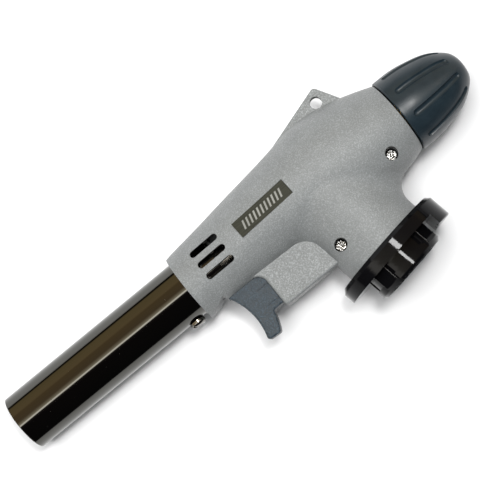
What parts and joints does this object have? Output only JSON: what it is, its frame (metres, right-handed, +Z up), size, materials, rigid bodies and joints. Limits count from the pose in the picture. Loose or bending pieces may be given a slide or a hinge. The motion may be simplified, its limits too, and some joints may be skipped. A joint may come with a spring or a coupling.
{
  "type": "butane torch",
  "caption": "Hand-held butane torch head with a flame tube, side trigger igniter, gas knob and a bayonet collar for a canister.",
  "frame": {"origin": "middle of the footprint on the bench that the torch lies on", "axes": "+X along the barrel towards the flame, +Y towards the canister side, +Z up from the bench, out of the left side"},
  "size_m": [0.1766, 0.0654, 0.0403],
  "materials": {
    "housing": "moulded plastic with a fine sparkle grain",
    "knob": "satin moulded plastic",
    "trigger": "fine textured moulded plastic",
    "collar": "glossy black",
    "tube": "polished dark nickel",
    "screw_steel": "zinc plated",
    "label": "dark lacquered plate with light marks",
    "brass": "turned",
    "steel": "bright",
    "bronze": "sintered",
    "ceramic": "glazed ceramic",
    "rubber": "matt",
    "lead": "silicone sleeve",
    "case": "matt"
  },
  "bodies": {
    "torch": {"left_housing": "housing", "right_housing": "housing", "housing_screws": "screw_steel", "label_plate": "label", "flame_tube": "tube", "tube_screw": "screw_steel", "burner_support": "brass", "mixing_tube": "brass", "flame_holder": "steel", "burner_screen": "steel", "jet_holder": "brass", "gas_filter": "bronze", "gas_jet": "brass", "insulator": "ceramic", "electrode": "steel", "ignition_lead": "lead", "igniter_case": "case", "igniter_terminal": "steel", "trigger_spring": "steel", "valve_body": "brass", "spindle_seal": "rubber", "gland_nut": "brass", "inlet_stem": "brass", "inlet_seal": "rubber", "canister_collar": "collar", "collar_screws": "screw_steel"},
    "trigger": {"trigger": "trigger", "igniter_plunger": "case"},
    "knob": {"control_knob": "knob", "valve_spindle": "brass"}
  },
  "joints": [
    {"name": "trigger_slide", "type": "slide", "parent": "torch", "child": "trigger", "axis": [-0.9985, 0, 0.055], "range_m": [0, 0.0034], "stiffness_N_per_m": 600, "springref_m": -0.004, "deforming": ["trigger_spring"]},
    {"name": "knob_turn", "type": "hinge", "parent": "torch", "child": "knob", "pos_m": [-0.07512, -0.00902, 0.01844], "axis": [-0.9985, 0, 0.055], "range_deg": [0, 540]}
  ]
}
